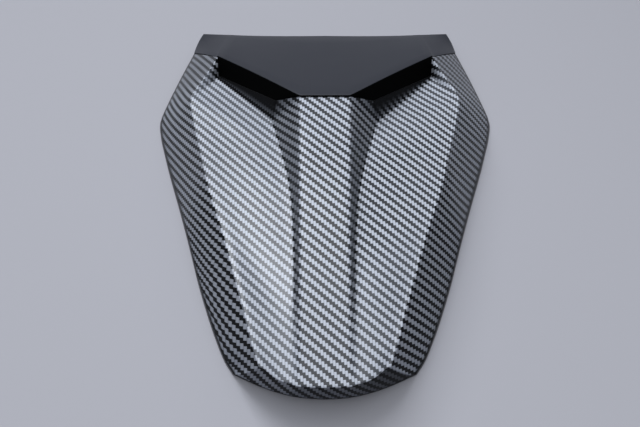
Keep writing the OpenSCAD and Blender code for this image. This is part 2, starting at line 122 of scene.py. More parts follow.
# %% [markdown]
# ## One helper for every other node
# A material here is a "sheet": it owns a node tree, makes any node from its type, its
# settings and the values or links of its sockets, and hands sockets back as Values.

# %% Material sheet
class Sheet:
    """One material and the nodes it is made from."""

    def __init__(self, name):
        self.material = bpy.data.materials.new(name)
        self.material.use_nodes = True
        self.tree = self.material.node_tree
        self.tree.nodes.clear()

    def node(self, kind, settings=None, **sockets):
        made = self.tree.nodes.new("ShaderNode" + kind)
        for name, setting in (settings or {}).items():
            setattr(made, name, setting)
        for name, item in sockets.items():
            socket = made.inputs[int(name[1:])] if name[1:].isdigit() else made.inputs[name.replace("_", " ")]
            if isinstance(item, Value):
                self.tree.links.new(item.socket, socket)
            else:
                socket.default_value = item
        return made

    def out(self, made, name=0):
        return Value(self, made.outputs[name])

    def coords(self):
        return self.out(self.node("TexCoord"), "Object")

    def split(self, vector):
        made = self.node("SeparateXYZ", Vector=vector)
        return [self.out(made, k) for k in range(3)]

    def noise(self, vector, scale, detail=3.0, roughness=0.55):
        return self.out(self.node("TexNoise", None, Vector=vector, Scale=scale, Detail=detail,
                                  Roughness=roughness), "Fac" if "Fac" in self.tree.nodes[-1].outputs else 0)

    def blend(self, factor, low, high):
        made = self.node("Mix", {"data_type": "RGBA"})
        for k, item in ((0, factor), (6, low), (7, high)):
            if isinstance(item, Value):
                self.tree.links.new(item.socket, made.inputs[k])
            else:
                made.inputs[k].default_value = item if k == 0 else (*item, 1)
        return Value(self, made.outputs[2])

    def bump(self, height, distance, strength):
        return self.out(self.node("Bump", None, Height=height, Distance=distance, Strength=strength), "Normal")

    def finish(self, **sockets):
        surface = self.node("BsdfPrincipled", None, **sockets)
        end = self.tree.nodes.new("ShaderNodeOutputMaterial")
        self.tree.links.new(surface.outputs[0], end.inputs["Surface"])
        return self.material

# %% [markdown]
# ## The shell's skin at a finer pitch
# The shell is one moulding, and its look lives in clean highlights along the creases.
# The solid is coarse by need, so the same feature lines are lofted again here, three times
# finer and with rounder corners. A few listed points carry each long line from the
# tail (0) to the cap (1): half width, distance along the cowl and height, in millimetres.

# %% Feature lines of the shell
HALF = 171.5
SPINE_W, SPINE_TAIL_W = 34.4, 28.8
SPINE_H, TAIL_H, SPINE_RISE, RIDGE_Y = 88.0, 44.0, 28.0, 26.0
SCOOP_D, TAIL_OVERHANG, SHELL_T = 12.0, 12.7, 2.8
CREASE = np.array([
    [0, 38.7, -158, 43], [0.03, 41.8, -149.7, 46], [0.063, 44.5, -141.7, 48.5], [0.122, 48.8, -126.4, 52],
    [0.23, 57.2, -98.5, 56], [0.345, 66.2, -68.7, 58], [0.486, 78, -32.3, 57.7], [0.634, 87.7, 6.1, 56.6],
    [0.742, 94.8, 33.9, 56], [0.845, 99.4, 60.6, 57.2], [0.923, 91.4, 80.9, 59], [1, 82.6, 100.7, 62]])
RIM = np.array([
    [0, 59.5, -139, 0], [0.05, 64.6, -131, 0], [0.12, 69.8, -119.7, 0], [0.23, 77.4, -100.5, 0],
    [0.345, 87.4, -71.5, 0], [0.486, 97.8, -37, 0], [0.634, 109.5, 0, 0], [0.742, 120, 32, 0],
    [0.8, 127, 55, 0], [0.86, 132.8, 76, 0], [0.9, 134.9, 92, 1.5], [0.935, 129.6, 110, 6.5],
    [0.97, 120.8, 132.5, 14], [1, 111.2, 153.6, 22]])
FOOT = np.array([
    [0, 17.6, -170.6, 43.7], [0.1, 17.8, -152, 50], [0.215, 18, -128, 56.6], [0.345, 18.4, -101.4, 60.8],
    [0.45, 19, -79.6, 62.8], [0.57, 20.5, -55.8, 64], [0.7, 23.6, -30, 64.3], [0.84, 30, 0, 63],
    [1, 37.7, 31.8, 60]])
RIM_TAIL = np.array([[0, 0, 0, 4], [0.25, 15, 1.2, 3.8], [0.5, 29.5, 5.2, 2.8], [0.75, 44.5, 11.9, 1],
                     [1, 59.5, 19.8, 0]])


def at(rows, t):
    """A smooth line through [place, values...] rows, read at t."""
    k = int(np.clip(np.searchsorted(rows[:, 0], t, side="right") - 1, 0, len(rows) - 2))

    def slope(i):
        a, b = max(i - 1, 0), min(i + 1, len(rows) - 1)
        return (rows[b, 1:] - rows[a, 1:]) / (rows[b, 0] - rows[a, 0])
    h = rows[k + 1, 0] - rows[k, 0]
    u = (t - rows[k, 0]) / h
    return (rows[k, 1:] * (2 * u ** 3 - 3 * u * u + 1) + slope(k) * h * (u ** 3 - 2 * u * u + u)
            + rows[k + 1, 1:] * (3 * u * u - 2 * u ** 3) + slope(k + 1) * h * (u ** 3 - u * u))


def mix(a, b, t): return a + (b - a) * t
def spot(*values): return np.array(values, float)
def ease(a, b, t):
    u = min(max((t - a) / (b - a), 0.0), 1.0)
    return u * u * (3 - 2 * u)
def toward(a, b, r):
    reach = np.linalg.norm(b - a)
    return a + (b - a) / reach * min(r, 0.4 * reach)
def arc(a, c, b, t): return (1 - t) ** 2 * a + 2 * t * (1 - t) * c + t * t * b


# %% Corners of one cross row, d below the outer face
def tail_in(s, d): return 1.35 * d * (1 - ease(0, 0.04, s))
def strip(s): return ease(0.845, 1, s)
def spine_z(y): return TAIL_H + (SPINE_H - TAIL_H) * (1 - (1 - (y + HALF) / (RIDGE_Y + HALF)) ** 2)


def spine_mid(s, d):
    y = mix(-HALF - 0.6, RIDGE_Y, s)
    return spot(0, y + tail_in(s, d), spine_z(y) - d)


def spine_edge(s, d):
    y = mix(-HALF, RIDGE_Y, s)
    return spot(mix(SPINE_TAIL_W, SPINE_W, s) / 2 - 0.5 * d * ease(0.1, 0.5, s), y + tail_in(s, d),
                spine_z(y) - 0.1 - d)


def foot(s, d):
    p = at(FOOT, s)
    return spot(p[0] - 0.5 * d * ease(0.1, 0.5, s), p[1] + tail_in(s, d), p[2] - d)


def crease(s, d):
    p = at(CREASE, s)
    return spot(p[0] - d * mix(0.8, -0.25, strip(s)), p[1] + d * (1 - ease(0, 0.06, s)),
                p[2] - d * mix(mix(0.75, 1, ease(0, 0.08, s)), 1.9, strip(s)))


def wing(s, d):
    p, k, j = at(CREASE, s), strip(s), max(0.0, (s - 0.845) / 0.155)
    return spot(p[0] - mix(2.4, 0.4, j) + d * mix(-0.3, 0.7, k),
                p[1] - mix(0.8, 9.5, j) + 1.2 * d * (1 - ease(0, 0.06, s)), p[2] - mix(0.05, SCOOP_D, j) - d)


def side_out(s):
    q, r = at(RIM, max(0, s - 0.02)), at(RIM, min(1, s + 0.02))
    n = spot(r[1] - q[1], q[0] - r[0], 0)
    return n / np.linalg.norm(n)


def rim(s, d):
    p, n, k = at(RIM, s), side_out(s), ease(0, 0.04, s)
    return spot(p[0] - 1.1 * d * mix(0.75, n[0], k), p[1] - 1.1 * d * mix(-0.6, n[1], k), max(0, p[2]))


def rim_back(a, d):
    p = at(RIM_TAIL, a)
    return spot(p[0] - d * 0.8 * a * a, TAIL_OVERHANG - HALF + p[1] + d * (1.1 - 0.45 * a * a), max(0, p[2]))


# %% [markdown]
# ## Rows, scoop wall and skirts
# A row runs from the centre line over the spine's edge, down its side, across the wing
# and over the side crease, with a small round at each corner. At the front the rows climb
# the scoop's wall to the seam under the cap, which leaves the spine's edge, runs down its
# side and out to the crease. All round the edge a column then drops to the rim, goes
# round its lip and comes back up inside, so the wall is closed and has its real thickness.

# %% Rows of the top face
# Places along a row: 3 is the spine's edge, 7 its foot, 14 the wing's outer edge, and
# 16 to 17 the inner half of the round at the side crease.
COLUMNS = np.arange(0, 17.01, 0.5)
LAST = len(COLUMNS) - 1
SEAM_MARKS = [0, 0.12, 0.5, 0.9, 1, 1.04, 1.2, 1.4, 1.6, 1.8, 1.95, 2]
FLOOR_END = 0.985


def main_row(s, d):
    a, b, f, w, c, o = (line(s, d) for line in (spine_mid, spine_edge, foot, wing, crease, rim))
    crown = spot(0, -1.8 * (1 - ease(0, 0.1, s)), 1.6 * ease(0, 0.3, s) * (1 - ease(0.6, 1, s)))
    p2, p4, p6, p8 = toward(b, a, 1.6), toward(b, f, 1.6), toward(f, b, 1.8), toward(f, w, 1.8)
    p13, p15, p16, p18 = toward(w, f, 1.6), toward(w, c, 1.4), toward(c, w, 1.4), toward(c, o, 1.4)

    def point(q):
        if q <= 2: return mix(a, p2, q / 2)
        if q <= 4: return arc(p2, b, p4, (q - 2) / 2)
        if q <= 6: return mix(p4, p6, (q - 4) / 2)
        if q <= 8: return arc(p6, f, p8, (q - 6) / 2)
        if q <= 13: return mix(p8, p13, (q - 8) / 5) + crown * math.sin(math.pi * (q - 8) / 5)
        if q <= 15: return arc(p13, w, p15, (q - 13) / 2)
        if q <= 16: return mix(p15, p16, q - 15)
        return arc(p16, c, p18, (q - 16) / 2)
    return np.array([point(q) for q in COLUMNS])


def seam_at(t, d):
    start = spot(SPINE_W / 2, RIDGE_Y + 0.8, SPINE_H)
    knee = foot(1, 0) + spot(-3.2, 1.7, 0.64 * SPINE_RISE)
    end = wing(1, 0) + spot(0, 0.6, 0.8)
    inward = spot(-0.9, 0.6, -0.1)
    if t <= 0:
        return start + spot(0, 0, -d)
    if t <= 1:
        return mix(start, knee, t) + d * mix(spot(-0.6, 0.3, -0.8), inward, t)
    return mix(knee, end, t - 1) + d * inward


def between(row, first, second):
    """Fills the columns between two whole ones evenly."""
    for k in range(first + 1, second):
        row[k] = mix(row[first], row[second], (k - first) / (second - first))
    return row


def top_row(d):
    row = main_row(1, d)
    for k, q in enumerate(COLUMNS):
        if q < 3:
            row[k] = row[k] + spot(0, 0.8, 0)
        elif q <= 14:
            row[k] = seam_at(np.interp(q, range(3, 15), SEAM_MARKS), d)
    return between(between(row, 4, 6), 28, 30)


def wall_row(t, d):
    row = mix(main_row(1, d), top_row(d), t)
    row[30:] = main_row(mix(0.988, 1, t), d)[30:]
    return between(row, 28, 30)


def floor_round(t, d):
    """The round between the scoop's floor and its front wall."""
    p, c, q = main_row(FLOOR_END, d), wall_row(0, d), wall_row(0.12, d)
    row = mix(p, c, 2 * t) if t < 0.5 else mix(c, q, 2 * t - 1)
    row[7:30] = arc(p[7:30], c[7:30], q[7:30], t)
    return row


def tail_round(t, d):
    """The round over the tail edge, from the top face (0) to the rear face (1)."""
    e, n = main_row(0, d), main_row(0.06, d)
    return np.array([arc(toward(e[k], n[k], 1.6), e[k], toward(e[k], tail_rim(e, k, d), 1.6), t)
                     for k in range(LAST + 1)])


def tail_rim(e, k, d): return rim_back(e[k][0] / e[LAST][0], d)


MAIN_ROWS = 90
STATIONS = ([0, 0.003, 0.006] + [FLOOR_END * i / MAIN_ROWS for i in range(2, MAIN_ROWS + 1)]
            + [0.987, 0.988, 0.989] + [mix(0.988, 1, t) for t in (0.12, 0.3, 0.5, 0.75, 1)])


def top_face(d):
    return np.array([tail_round(t, d) for t in (0.5, 0.25, 0)]
                    + [main_row(s, d) for s in STATIONS[3:-8]]
                    + [floor_round(t, d) for t in (0.25, 0.5, 0.75)]
                    + [wall_row(t, d) for t in (0.12, 0.3, 0.5, 0.75, 1)])


# %% Columns that drop from the edge of the top face
DROPS = [0.0, 0.03, 0.08, 0.16, 0.25, 0.35, 0.45, 0.55, 0.65, 0.74, 0.82, 0.88, 0.93]
LIP_H = 1.4


def drop(edge, corner, start, foot_point, out):
    """Down the skirt: the rest of the crease's round, then the slightly bulged face."""
    length = np.linalg.norm(foot_point - start)
    steps = DROPS + [1 - 4.2 / length, 1 - LIP_H / length]
    fall = [mix(start, foot_point, t) + out * 2.2 * math.sin(math.pi * t) for t in sorted(steps)]
    shift = edge - corner
    return [corner_point + shift * (1 - k / (len(fall))) ** 3
            for k, corner_point in enumerate([mix(corner, start, 0.5)] + fall)]


def side_drop(i, top, d):
    s = STATIONS[i]
    c, w, o = crease(s, d), wing(s, d), rim(s, d)
    first, start = toward(c, w, 1.4), toward(c, o, 1.4)
    return drop(top[i][LAST], arc(first, c, start, 0.5), start, o, side_out(s) * ease(0, 0.1, s))


def tail_drop(k, top, d):
    e = main_row(0, d)
    end = tail_rim(e, k, d)
    return drop(top[0][k], top[0][k], toward(e[k], end, 1.6), end, spot(0, -0.6, 0))


def edge_columns(top, d):
    """Drops along half the edge, from the middle of the tail to the cap, and their feet."""
    columns = [tail_drop(k, top, d) for k in range(LAST + 1)]
    columns += [side_drop(i, top, d) for i in range(1, len(top))]
    feet = [tail_rim(main_row(0, d), k, d) for k in range(LAST + 1)] + [rim(s, d) for s in STATIONS[1:]]
    return np.array(columns), np.array(feet)

# %% [markdown]
# ## Laying the film
# The pattern is printed on a film that floats on water, and the shell is dipped through
# it at a slant, tail down. So the pattern lies on the shell like a picture thrown on it
# from behind the tail: the cells keep their size on faces that look that way and are
# drawn out on the others. Down the skirts the film is also pulled outwards, so there the
# cells grow wider still. The map is kept in millimetres of film, across and along.

# %% Film map
DIP_SLANT = math.radians(39.5)
PULL_MARKS = [0.05, 0.3, 0.55, 0.8, 0.98]
LEFT_PULL, LEFT_DRAG = [0.6, 0.15, 0.35, 0.93, 1.2], [0.1, -0.18, -0.1, 0.0, 0.0]
RIGHT_PULL, RIGHT_DRAG = [0.74, 0.8, 0.96, 1.08, 0.6], [0.08, 0.04, -0.04, -0.2, 0.1]


def film_at(points):
    """Where points of the top face lie on the film."""
    along = points[..., 1] * math.cos(DIP_SLANT) + points[..., 2] * math.sin(DIP_SLANT)
    return np.stack([points[..., 0], along], axis=-1)


def skirt_film(wrap, edge_x, stations, pull, drag, side):
    """Film down one side's columns: spread by pull across, and by drag along, from the edge on."""
    across = mix(edge_x, wrap[..., 0], np.interp(stations, PULL_MARKS, pull)[:, None])
    down = np.linalg.norm(wrap - wrap[:, :1], axis=-1)
    along = film_at(wrap)[..., 1] + np.interp(stations, PULL_MARKS, drag)[:, None] * down
    return np.stack([side * across, along], axis=-1)


# %% [markdown]
# ## Painted shade in the print
# Where the cowl lies in shade, the print is dimmed: this is painted shade, on the spine's
# sides, on the strip beside each scoop, up the scoop's front wall under the cap's lip, on
# the tail's face and down the skirts, with the right of the tail darker than the left, as
# the key lamp is at the left. The print also fades out a few millimetres above the rim. A
# number between 0 (plain black) and 1 (full print) is kept for each point of the skin.

# %% Print strength, with painted shade
SPINE_SIDE_SHADED_PRINT, STRIP_SHADED_PRINT, TAIL_SHADED_PRINT, FRONT_SKIRT_SHADED_PRINT = 0.46, 0.26, 0.24, 0.46
# Painted shade: at the tail's corner, darker on the right, away from the key lamp, and down the skirts, which face
# away from the light.
LEFT_SHADED_PRINT, RIGHT_SHADED_PRINT = (0.48, 0.65), (0.1, 0.6)      # at the tail's corner, and down the skirt
WALL_SHADED_PRINT = [0.6, 0.45, 0.4, 0.32, 0.18, 0.06, 0.0, 0.0]
BARE_RIM, FULL_RIM = 5.5, 9.0


def top_print_and_shade(rows):
    """Print strength, with painted shade, for each row and column of half the top face."""
    print_and_shade = np.ones((rows, LAST + 1))
    for i, s in enumerate(np.linspace(0, 1, rows)):
        for k, q in enumerate(COLUMNS):
            side = ease(3, 4.5, q) * (1 - ease(7, 8, q)) * ease(0.1, 0.3, s)
            strip_here = ease(14, 14.5, q) * (1 - ease(15.5, 16, q)) * ease(0.86, 0.93, s)
            print_and_shade[i, k] = mix(mix(1, SPINE_SIDE_SHADED_PRINT, side), STRIP_SHADED_PRINT, strip_here)
    for step, fade in enumerate(WALL_SHADED_PRINT):
        for k, q in enumerate(COLUMNS):
            i = rows - len(WALL_SHADED_PRINT) + step
            on_wall = ease(4.5, 7, q) * (1 - ease(14, 14.5, q))
            print_and_shade[i, k] = mix(print_and_shade[i, k], min(print_and_shade[i, k], fade), on_wall)
    return print_and_shade


def skirt_print_and_shade(wrap, outer_count, stations, print_and_shade_here):
    """Print strength, with painted shade, down each column of the skirts; nothing inside the lip."""
    print_and_shade = np.zeros(wrap.shape[:2])
    for l in range(len(wrap)):
        foot_point = wrap[l, outer_count - 1]
        corner = mix(TAIL_SHADED_PRINT, print_and_shade_here[0], ease(0, LAST - 4, l))
        full = mix(corner, print_and_shade_here[1], ease(LAST - 4, LAST, l))
        full = mix(full, FRONT_SKIRT_SHADED_PRINT, ease(0.9, 0.96, stations[l]))
        for k in range(outer_count):
            above = np.linalg.norm(wrap[l, k] - foot_point) + LIP_H
            print_and_shade[l, k] = full * ease(BARE_RIM, FULL_RIM, above)
    return print_and_shade


# %% [markdown]
# ## Gloss and painted sheen on the lacquer
# A second number per point, from 0 to 1, sets the lacquer's coat and lifts the film's dark
# cells to grey: a painted sheen where the lamps would be mirrored. It is strongest on the
# top faces and on the left wing, which faces the key lamp, weak on the walls and skirts, and
# none on the strip beside each scoop or on the tail's face, both in shade. Painted shade
# runs along the spine's foot, and the dark cells are darker beside the side crease over
# given stretches. Places along the cowl run from 0 at the tail to 1 at the cap; four of
# them give where an effect eases in and out.

# %% Gloss and painted sheen of the lacquer
# Painted sheen on the spine and on each wing, in the middle and at the ends; the left wing has more, as it faces the
# key lamp.
SPINE_SHEEN, LEFT_WING_SHEEN, RIGHT_WING_SHEEN = (0.5, 0.62), (0.84, 1.0), (0.57, 0.8)      # middle and ends of each
MIDDLE = (0.28, 0.42, 0.66, 0.82)
SPINE_SIDE_SHEEN, SCOOP_WALL_SHEEN = 0.35, 0.05
SKIRT_SHEEN, FRONT_SKIRT_SHEEN, DARK_DROPS = 0.25, 0.5, 5
# Painted shade along the spine's foot, and darker dark cells beside the side crease, over these stretches.
FOOT_LINE = (0.28, 0.4, 0.93, 0.98)
RIGHT_DARK, LEFT_DARK = (0.02, 0.08, 0.5, 0.62), (0.22, 0.3, 0.46, 0.54)


def within(marks, s):
    """1 between the two middle marks, easing to 0 at the outer ones."""
    return ease(marks[0], marks[1], s) * (1 - ease(marks[2], marks[3], s))


def top_gloss_and_sheen(rows, wing, dark):
    """Gloss and painted sheen for each row and column of half the top face."""
    gloss_and_painted_sheen = np.ones((rows, LAST + 1))
    for i, s in enumerate(np.linspace(0, 1, rows)):
        for k, q in enumerate(COLUMNS):
            middle = within(MIDDLE, s)
            face = mix(mix(SPINE_SHEEN[1], SPINE_SHEEN[0], middle), mix(wing[1], wing[0], middle), ease(4, 6, q))
            side = ease(3, 4.5, q) * (1 - ease(7, 8, q))
            line = ease(6, 7, q) * (1 - ease(7.6, 8, q)) * within(FOOT_LINE, s)
            corner = ease(15.5, 16.5, q) * within(dark, s)
            wall = ease(4.5, 7, q) * (1 - ease(14, 14.5, q)) * (i >= rows - len(WALL_SHADED_PRINT))
            strip = ease(14, 14.5, q) * ease(0.88, 0.93, s)
            least = min(mix(1, SPINE_SIDE_SHEEN, side * ease(0.1, 0.3, s)), 1 - line, 1 - corner,
                        mix(1, SCOOP_WALL_SHEEN, wall))
            gloss_and_painted_sheen[i, k] = (1 - strip) * face * least
    return gloss_and_painted_sheen


def skirt_gloss_and_sheen(wrap, stations, dark):
    """Gloss and painted sheen down each column of the skirts; none on the tail's wall, in shade."""
    gloss_and_painted_sheen = np.zeros(wrap.shape[:2])
    for l, s in enumerate(stations):
        gloss_and_painted_sheen[l] = mix(SKIRT_SHEEN * ease(0.45, 0.6, s), FRONT_SKIRT_SHEEN, ease(0.9, 0.95, s))
        gloss_and_painted_sheen[l, :DARK_DROPS] *= 1 - within(dark, s)
    gloss_and_painted_sheen[:LAST - 4] = 0
    return gloss_and_painted_sheen


# %% [markdown]
# ## From rows to one closed mesh
# Both halves come from the same half, mirrored, so the cowl is true to its centre line.
# The outer and inner top faces share their edge points with the columns, the columns run
# over the lip without a break, and the seam under the cap is closed by a narrow end face.

# %% Mesh of the skin
LIP_POINTS = 5


def mirrored(half):
    """Both halves of rows of points that start on the centre line."""
    return np.concatenate([half[:, :0:-1] * (-1, 1, 1), half], axis=1)


def build_skin():
    """Points, film map, print strength with painted shade and gloss with painted sheen of each point, faces, and which
    faces carry film.
    """
    tops = [top_face(0), top_face(SHELL_T)]
    sides = [edge_columns(top, d) for top, d in zip(tops, (0, SHELL_T))]
    (outer, outer_feet), (inner, inner_feet) = sides
    lip = np.stack([((1 - u) ** 3 * outer[:, -1].T + 3 * u * (1 - u) ** 2 * outer_feet.T
                     + 3 * u * u * (1 - u) * inner_feet.T + u ** 3 * inner[:, -1].T).T
                    for u in np.linspace(0, 1, LIP_POINTS + 2)[1:-1]], axis=1)
    wrap = np.concatenate([outer, lip, inner[:, ::-1]], axis=1)
    edge_x = np.concatenate([tops[0][0, :, 0], tops[0][1:, LAST, 0]])[:, None]

    wide = 2 * LAST + 1
    rows = len(tops[0])
    reach = wrap.shape[0]
    deep = wrap.shape[1]
    grids = [mirrored(top).reshape(-1, 3) for top in tops]
    both_wrap = np.concatenate([wrap[:0:-1] * (-1, 1, 1), wrap])
    edge_stations = [0] * (LAST + 1) + STATIONS[1:]
    right = skirt_film(wrap, edge_x, edge_stations, RIGHT_PULL, RIGHT_DRAG, 1)
    left = skirt_film(wrap, edge_x, edge_stations, LEFT_PULL, LEFT_DRAG, -1)
    down_film = np.concatenate([left[:0:-1], right]).reshape(-1, 2)
    points = np.concatenate(grids + [both_wrap.reshape(-1, 3)])
    flats = np.concatenate([film_at(grid) for grid in grids] + [down_film])
    half_print_and_shade = top_print_and_shade(rows)
    whole_print_and_shade = np.concatenate([half_print_and_shade[:, :0:-1], half_print_and_shade], axis=1).reshape(-1)
    left_print_and_shade, right_print_and_shade = [skirt_print_and_shade(wrap, outer.shape[1], edge_stations, here)
                               for here in (LEFT_SHADED_PRINT, RIGHT_SHADED_PRINT)]
    down_print_and_shade = np.concatenate([left_print_and_shade[:0:-1], right_print_and_shade]).reshape(-1)
    print_and_shade_values = np.concatenate([whole_print_and_shade, whole_print_and_shade * 0, down_print_and_shade])
    left_top, right_top = top_gloss_and_sheen(rows, LEFT_WING_SHEEN, LEFT_DARK), top_gloss_and_sheen(rows, RIGHT_WING_SHEEN, RIGHT_DARK)
    top_gloss_and_sheen_values = np.concatenate([left_top[:, :0:-1], right_top], axis=1).reshape(-1)
    down_gloss_and_sheen_values = np.concatenate([skirt_gloss_and_sheen(wrap, edge_stations, LEFT_DARK)[:0:-1],
                                 skirt_gloss_and_sheen(wrap, edge_stations, RIGHT_DARK)]).reshape(-1)
    gloss_and_sheen_values = np.concatenate([top_gloss_and_sheen_values, top_gloss_and_sheen_values, down_gloss_and_sheen_values])
    inner_start = rows * wide
    wrap_start = 2 * rows * wide
    loop = 2 * reach - 1

    def edge_number(l):
        """Number of the edge point of the outer top face, l places from the tail's middle."""
        away = abs(l)
        column = min(away, LAST)
        return max(0, away - LAST) * wide + LAST + (column if l >= 0 else -column)

    def wrap_number(l, k):
        if k < 0:
            return edge_number(l)
        if k >= deep:
            return inner_start + edge_number(l)
        return wrap_start + (l + reach - 1) * deep + k

    faces, film = [], []
    for i in range(rows - 1):
        for c in range(wide - 1):
            p = i * wide + c
            faces.append((p, p + 1, p + wide + 1, p + wide))
            film.append(True)
            p += inner_start
            faces.append((p, p + wide, p + wide + 1, p + 1))
            film.append(False)
    printed = outer.shape[1] - 2
    for l in range(1 - reach, reach - 1):
        for k in range(-1, deep):
            faces.append((wrap_number(l, k), wrap_number(l, k + 1), wrap_number(l + 1, k + 1), wrap_number(l + 1, k)))
            film.append(k < printed)
    front = (rows - 1) * wide
    for c in range(wide - 1):
        faces.append((front + c, front + c + 1, inner_start + front + c + 1, inner_start + front + c))
        film.append(False)
    half_deep = outer.shape[1]
    for l, turn in ((reach - 1, 1), (1 - reach, -1)):
        for k in range(-1, half_deep - 1):
            ring = [wrap_number(l, place) for place in (k, k + 1, deep - 2 - k, deep - 1 - k)]
            faces.append(tuple(ring[::turn]))
            film.append(False)
        ring = [wrap_number(l, k) for k in range(half_deep - 1, half_deep + LIP_POINTS + 1)]
        faces.append(tuple(ring[::turn]))
        film.append(False)
    return points, flats, print_and_shade_values, gloss_and_sheen_values, faces, film


def put(name, points, faces, materials, face_material=None):
    """A new object in the scene, in metres, with its normals outward."""
    data = bpy.data.meshes.new(name)
    data.from_pydata([tuple(p) for p in np.asarray(points) * MM], [], faces)
    for material in materials:
        data.materials.append(material)
    if face_material is not None:
        data.polygons.foreach_set("material_index", face_material)
    work = bmesh.new()
    work.from_mesh(data)
    bmesh.ops.recalc_face_normals(work, faces=work.faces)
    work.to_mesh(data)
    work.free()
    made = bpy.data.objects.new(name, data)
    bpy.context.scene.collection.objects.link(made)
    return made


def soften(piece, angle):
    """Shades a piece smooth, but keeps edges sharp that turn by more than the angle."""
    for face in piece.data.polygons:
        face.use_smooth = True
    piece.data.set_sharp_from_angle(angle=math.radians(angle))


skin_points, skin_film, skin_print_and_shade, skin_gloss_and_sheen, skin_faces, film_face = build_skin()
print("skin", len(skin_points), "points", len(skin_faces), "faces, box",
      skin_points.min(0).round(2), skin_points.max(0).round(2))

# %% [markdown]
# ## The woven look
# The film copies a two-by-two twill of carbon tows: each tow passes over two and under
# two, and every row starts one place further on, so the bright cells line up into
# diagonals that fall to the right. A cell is bright where the tow that runs across is on
# top, and dark where the other is. Each tow is rounded, so a cell dims towards its sides.
# A painted sheen, where the lacquer would mirror the lamps, lifts the dark cells to grey.

# %% Film material
TOW = 1.63
FILM_TURN = math.radians(-6)
BLACK_GROUND, SILVER_INK = (0.0035, 0.0036, 0.0042), (0.66, 0.71, 0.82)
BRIGHT_CELL, DARK_CELL, PAINTED_SHEEN_LIFT, ROUNDING = 0.9, 0.008, 0.2, 0.35


def film_material():
    """The printed twill under its lacquer."""
    sheet = Sheet("weave_film")
    uv = sheet.out(sheet.node("UVMap", {"uv_map": "film"}))
    placed = sheet.node("Mapping", {"vector_type": "POINT"}, Vector=uv)
    placed.inputs["Rotation"].default_value = (0, 0, FILM_TURN)
    x, y, _ = sheet.split(sheet.out(placed))
    across, along = x / TOW, y / TOW
    place = (across.floor() + along.floor()).wrap(4.0)
    over = place.below(1.5)
    mid_x, mid_y = across.wrap(1.0) - 0.5, along.wrap(1.0) - 0.5
    round_over = 1.0 - (mid_x.size() * 2.0).power(3.0) * ROUNDING
    round_under = 1.0 - (mid_y.size() * 2.0).power(3.0) * ROUNDING
    # Painted sheen: the dark cells' colour is lifted where the lacquer would mirror the lamps.
    gloss_and_painted_sheen = sheet.out(sheet.node("Attribute", {"attribute_name": "gloss_and_painted_sheen"}), "Fac")
    dark = DARK_CELL + gloss_and_painted_sheen * gloss_and_painted_sheen * PAINTED_SHEEN_LIFT
    tone = over * round_over * BRIGHT_CELL + (1.0 - over) * round_under * dark
    fibre = sheet.noise(sheet.out(sheet.node("Mapping", None, Vector=uv, Scale=(0.9, 9, 1))), 1.0)
    # Painted shade: the print is dimmed where the cowl lies in shade.
    print_and_shade = sheet.out(sheet.node("Attribute", {"attribute_name": "print_and_shade"}), "Fac")
    tone = tone * print_and_shade * (0.9 + fibre * 0.2)
    colour = sheet.blend(tone, BLACK_GROUND, SILVER_INK)
    grain = sheet.noise(sheet.coords(), 900.0, 2.0)
    normal = sheet.bump(over * 0.3 + grain * 0.2, 0.00004, 0.35)
    return sheet.finish(Base_Color=colour, Roughness=0.6, Normal=normal, Specular_IOR_Level=0.06,
                        Coat_Weight=gloss_and_painted_sheen, Coat_Roughness=0.3)


film = film_material()

# %% [markdown]
# ## Plain moulded plastic
# The inside of the shell, the cap and the tray are bare ABS. A spark-eroded mould
# leaves a fine even grain, which shows as a soft sheen rather than as dots, and slow
# waves in the surface break up the reflection a little.

# %% Plastic
WAVE = 0.08


def plastic(name, colour, rough, grain_size, grain_depth, shine=0.5):
    """Moulded plastic: fine grain, and slow waves in tint and sheen."""
    sheet = Sheet(name)
    spot = sheet.coords()
    grain = sheet.noise(spot, 1.0 / grain_size, 4.0)
    slow = sheet.noise(spot, 14.0, 2.0)
    tint = sheet.blend(slow * 0.5 + grain * 0.5, [c * (1 - WAVE) for c in colour], [c * (1 + WAVE) for c in colour])
    normal = sheet.bump(grain, grain_depth, 0.6)
    return sheet.finish(Base_Color=tint, Roughness=rough + slow * 0.08 - 0.04, Normal=normal, Specular_IOR_Level=shine)


# %% [markdown]
# ## Rubber feet and plated steel
# The four bumpers are black rubber, with a dull bloom that comes and goes. The plates,
# the striker and the fasteners are zinc plated: the rolled or drawn grain shows as fine
# lines along the metal, and the plating has faint cloudy patches. Both are made from
# noise, stretched along the grain for the steel, so nothing repeats.

# %% Rubber and steel
def rubber(name):
    """Black rubber with a dull bloom."""
    sheet = Sheet(name)
    spot = sheet.coords()
    grain = sheet.noise(spot, 1500.0, 3.0)
    bloom = sheet.noise(spot, 60.0, 3.0)
    tint = sheet.blend(bloom, (0.012, 0.012, 0.012), (0.03, 0.03, 0.031))
    return sheet.finish(Base_Color=tint, Roughness=0.72 + bloom * 0.15, Normal=sheet.bump(grain, 0.00003, 0.7))


def plated_steel(name, colour, along):
    """Plated steel; along gives how fine the grain is in x, y and z."""
    sheet = Sheet(name)
    spot = sheet.coords()
    stretched = sheet.out(sheet.node("Mapping", None, Vector=spot, Scale=along))
    lines = sheet.noise(stretched, 1.0, 5.0, 0.7)
    patches = sheet.noise(spot, 220.0, 3.0)
    tint = sheet.blend(patches * 0.6 + lines * 0.4, [c * 0.82 for c in colour], [min(1, c * 1.12) for c in colour])
    return sheet.finish(Base_Color=tint, Metallic=1.0, Roughness=0.26 + lines * 0.16 + patches * 0.06,
                        Normal=sheet.bump(lines, 0.00002, 0.4))


cap_abs = plastic("cap_abs", (0.033, 0.0365, 0.049), 0.5, 0.0006, 0.00003)
